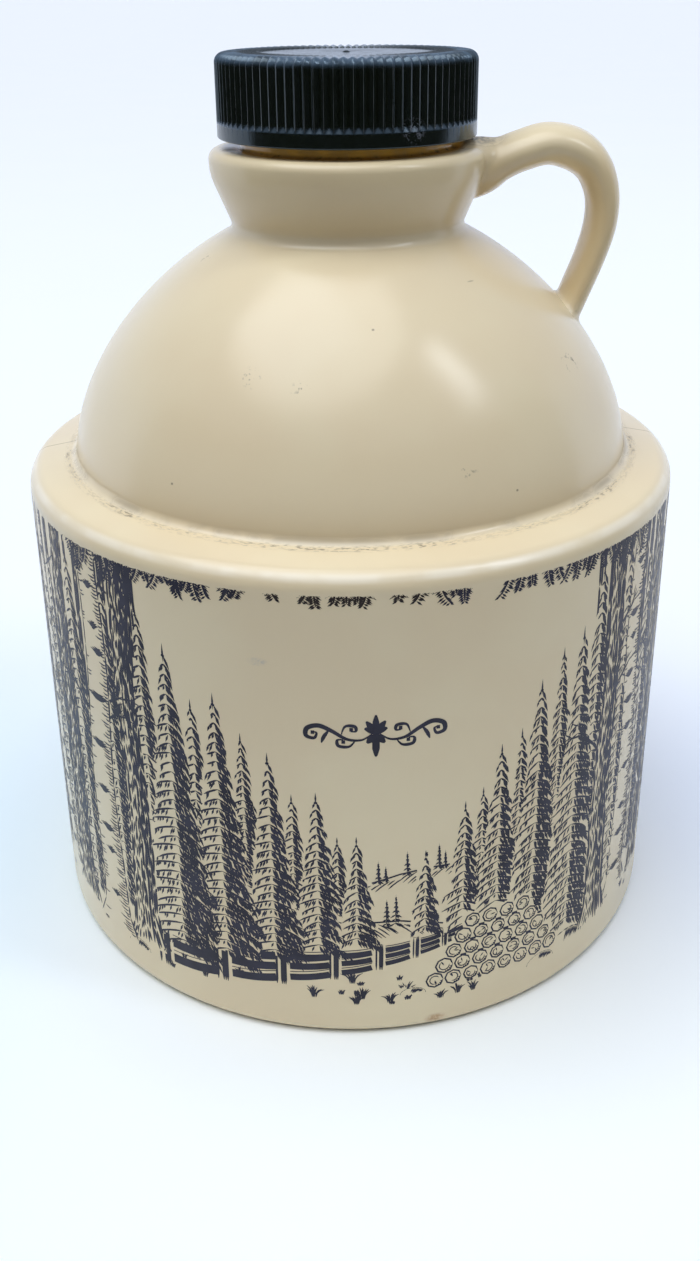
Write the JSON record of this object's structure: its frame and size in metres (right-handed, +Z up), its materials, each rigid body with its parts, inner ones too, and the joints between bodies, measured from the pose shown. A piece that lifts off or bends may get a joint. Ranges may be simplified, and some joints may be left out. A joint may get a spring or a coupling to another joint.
{
  "type": "maple syrup jug",
  "caption": "Round cream plastic syrup jug with a straight drum, domed shoulder, flared collar, small strap handle, ribbed black screw cap and a printed woodland band.",
  "frame": {"origin": "centre of the base, on the surface that the jug stands on", "axes": "+Z up along the jug's axis to the cap, +X towards the handle, -Y towards the printed front"},
  "size_m": [0.115, 0.115, 0.1525],
  "materials": {
    "jug_plastic": "satin moulded polyethylene, cream",
    "cap_plastic": "glossy moulded polypropylene, black",
    "print_ink": "screen-printed ink, dark blue-black"
  },
  "bodies": {
    "root": {"jug": "jug_plastic", "cap": "cap_plastic"}
  },
  "joints": []
}
